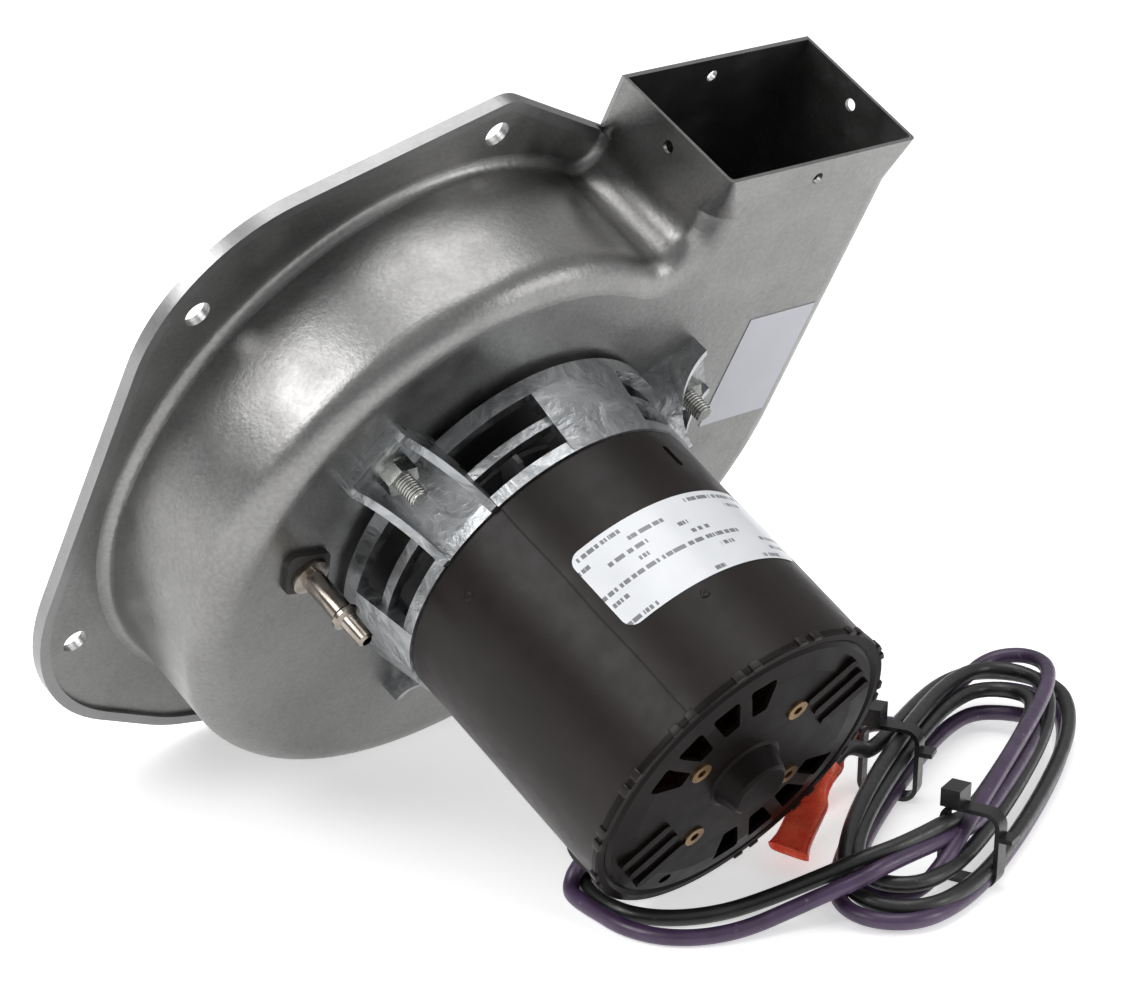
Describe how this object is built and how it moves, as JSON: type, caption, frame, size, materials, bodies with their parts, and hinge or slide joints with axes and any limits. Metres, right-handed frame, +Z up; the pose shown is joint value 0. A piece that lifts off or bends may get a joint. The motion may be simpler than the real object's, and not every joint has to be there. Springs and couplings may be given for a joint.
{
  "type": "combustion fan",
  "caption": "Furnace draft inducer: drawn-steel scroll with a rectangular outlet, back plate, motor on a die-cast cage, blower wheel, pressure tap and a tied hank of leads.",
  "frame": {"origin": "centre of the footprint of the fan itself, on the surface it lies on, leads left out", "axes": "+Z up as it lies on its side; +X across the mounting flange; the shaft slopes down from the flange towards -Y"},
  "size_m": [0.2454, 0.2067, 0.1832],
  "materials": {
    "casing_steel": "satin aluminised grey",
    "plate_steel": "galvanised",
    "die_cast": "as cast",
    "plated_steel": "zinc plated",
    "black_rubber": "matt",
    "plated_brass": "nickel plated",
    "motor_black": "semi-gloss black paint",
    "eyelet_brass": "bright",
    "lamination": "bare laminations",
    "winding_copper": "enamelled",
    "bearing_bronze": "sintered",
    "motor_label": "printed film",
    "housing_label": "printed silver film",
    "lead_black": "satin",
    "lead_violet": "satin",
    "black_nylon": "satin",
    "red_insulator": "translucent",
    "tinned_terminal": "tinned",
    "shaft_steel": "ground",
    "fan_plastic": "grey"
  },
  "bodies": {
    "fan_body": {"scroll_housing": "casing_steel", "back_plate": "plate_steel", "motor_mount": "die_cast", "mount_studs": "plated_steel", "mount_washers": "plated_steel", "mount_nuts": "plated_steel", "tap_gasket": "black_rubber", "pressure_tap": "plated_brass", "motor_shell": "motor_black", "rear_cap": "motor_black", "cap_eyelets": "eyelet_brass", "stator_core": "lamination", "stator_windings": "winding_copper", "front_bearing": "bearing_bronze", "rear_bearing": "bearing_bronze", "motor_label": "motor_label", "housing_label": "housing_label", "lead_gland": "black_rubber", "lead_black_run": "lead_black", "lead_violet_run": "lead_violet", "lead_hank": "lead_black", "lead_black_tail": "lead_black", "lead_violet_tail": "lead_violet", "cable_tie_1": "black_nylon", "cable_tie_2": "black_nylon", "insulator_1": "red_insulator", "insulator_2": "red_insulator", "terminal_1": "tinned_terminal", "terminal_2": "tinned_terminal"},
    "rotor": {"shaft": "shaft_steel", "rotor_core": "lamination", "thrust_washers": "black_nylon", "wheel_hub": "plated_steel", "wheel_disc": "plate_steel", "wheel_blades": "plate_steel", "set_screw": "shaft_steel", "cooling_fan": "fan_plastic"}
  },
  "joints": [
    {"name": "rotor_spin", "type": "hinge", "parent": "fan_body", "child": "rotor", "pos_m": [-0.014, 0.0449, 0.09988], "axis": [0, -0.8898, -0.4563], "continuous": true}
  ]
}
